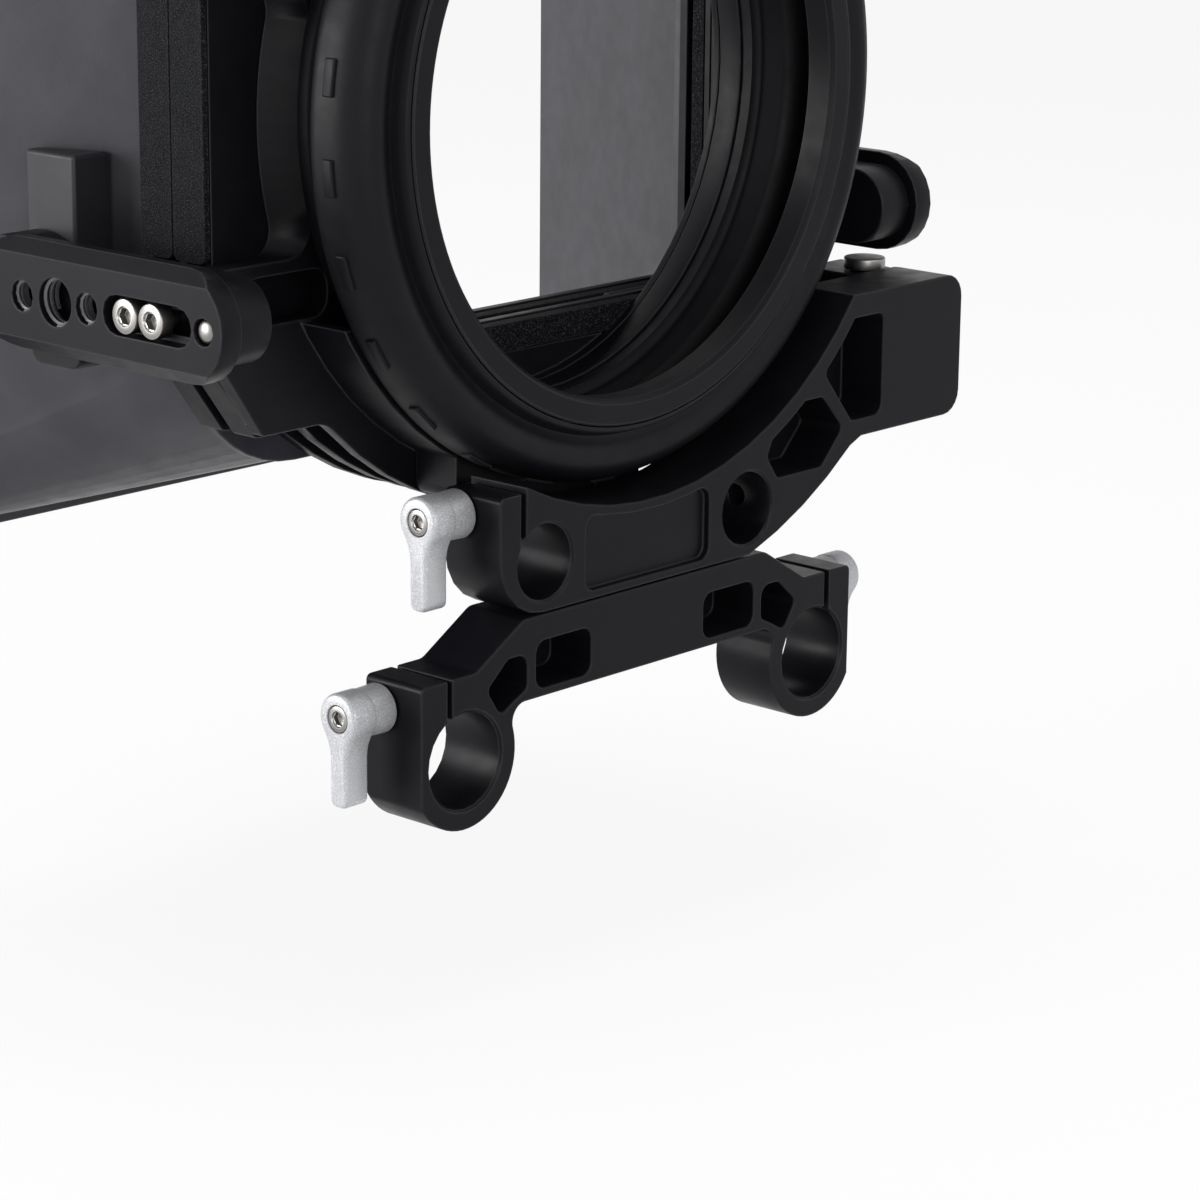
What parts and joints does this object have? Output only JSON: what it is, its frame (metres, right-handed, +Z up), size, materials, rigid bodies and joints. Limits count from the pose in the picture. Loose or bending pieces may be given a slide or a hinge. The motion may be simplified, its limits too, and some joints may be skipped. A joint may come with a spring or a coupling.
{
  "type": "matte box",
  "caption": "Swing-away matte box on a rod bridge with clamp levers, curved bracket, rubber bellows, filter stages with trays, flared hood and side bars.",
  "frame": {"origin": "midway between the two 19 mm rod centres, on the rear face of the bridge bracket", "axes": "+Y forward along the rods to the scene, +X to the camera operator's right, +Z up"},
  "size_m": [0.2076, 0.124, 0.2257],
  "materials": {
    "black_anodised": "satin black anodised aluminium",
    "cast_grey": "speckled light grey cast metal",
    "stainless": "brushed stainless steel",
    "black_rubber": "satin black rubber",
    "textured_grey": "dark grey sparked texture",
    "hood_grey": "satin dark grey moulded plastic"
  },
  "bodies": {
    "bracket": {"bridge_bracket": "black_anodised", "bridge_screw_left": "stainless", "bridge_screw_right": "stainless", "arc_bracket": "black_anodised", "hinge_pin": "stainless", "hinge_washer_lower": "stainless", "hinge_washer_upper": "stainless"},
    "lever_bridge_left": {"lever_bridge_left_handle": "cast_grey", "lever_bridge_left_screw": "stainless"},
    "lever_bridge_right": {"lever_bridge_right_handle": "cast_grey", "lever_bridge_right_screw": "stainless"},
    "lever_arc": {"lever_arc_handle": "cast_grey", "lever_arc_screw": "stainless"},
    "swing_front": {"rear_frame": "black_anodised", "lens_ring": "black_anodised", "bellows": "black_rubber", "rear_stage": "black_anodised", "front_stage": "black_anodised", "rear_stage_strip_left": "textured_grey", "rear_stage_strip_right": "textured_grey", "front_stage_strip_left": "textured_grey", "front_stage_strip_right": "textured_grey", "hood": "hood_grey", "hood_block_left": "black_anodised", "hood_block_right": "black_anodised", "side_rail_left": "black_anodised", "side_rail_right": "black_anodised", "bar_screw_left_rear": "stainless", "bar_screw_left_front": "stainless", "bar_screw_right_rear": "stainless", "bar_screw_right_front": "stainless", "latch_block": "black_anodised", "locating_pin": "stainless"},
    "rear_tray": {"rear_tray": "textured_grey"},
    "front_tray": {"front_tray": "textured_grey"},
    "bar_left": {"accessory_bar_left": "black_anodised", "bar_pin_left": "stainless"},
    "bar_right": {"accessory_bar_right": "black_anodised", "bar_pin_right": "stainless"},
    "latch_button": {"latch_button": "black_anodised"}
  },
  "joints": [
    {"name": "swing", "type": "hinge", "parent": "bracket", "child": "swing_front", "pos_m": [0.094, 0.022, 0.059], "axis": [0, 0, -1], "range_deg": [0, 90]},
    {"name": "bridge_left_clamp", "type": "hinge", "parent": "bracket", "child": "lever_bridge_left", "pos_m": [-0.0642, 0.011, 0.0111], "axis": [1, 0, 0], "range_deg": [-170, 170]},
    {"name": "bridge_right_clamp", "type": "hinge", "parent": "bracket", "child": "lever_bridge_right", "pos_m": [0.0642, 0.011, 0.0111], "axis": [1, 0, 0], "range_deg": [-170, 170]},
    {"name": "arc_clamp", "type": "hinge", "parent": "bracket", "child": "lever_arc", "pos_m": [-0.0429, 0.011, 0.0451], "axis": [1, 0, 0], "range_deg": [-100, 100]},
    {"name": "rear_tray_lift", "type": "slide", "parent": "swing_front", "child": "rear_tray", "axis": [0, 0, 1], "range_m": [0, 0.105]},
    {"name": "front_tray_lift", "type": "slide", "parent": "swing_front", "child": "front_tray", "axis": [0, 0, 1], "range_m": [0, 0.105]},
    {"name": "left_bar_slide", "type": "slide", "parent": "swing_front", "child": "bar_left", "axis": [0, 1, 0], "range_m": [-0.0022, 0.0072]},
    {"name": "right_bar_slide", "type": "slide", "parent": "swing_front", "child": "bar_right", "axis": [0, 1, 0], "range_m": [-0.0022, 0.0072]},
    {"name": "latch_release", "type": "slide", "parent": "swing_front", "child": "latch_button", "axis": [0, 1, 0], "range_m": [0, 0.0022], "stiffness_N_per_m": 200, "springref_m": -0.001}
  ]
}
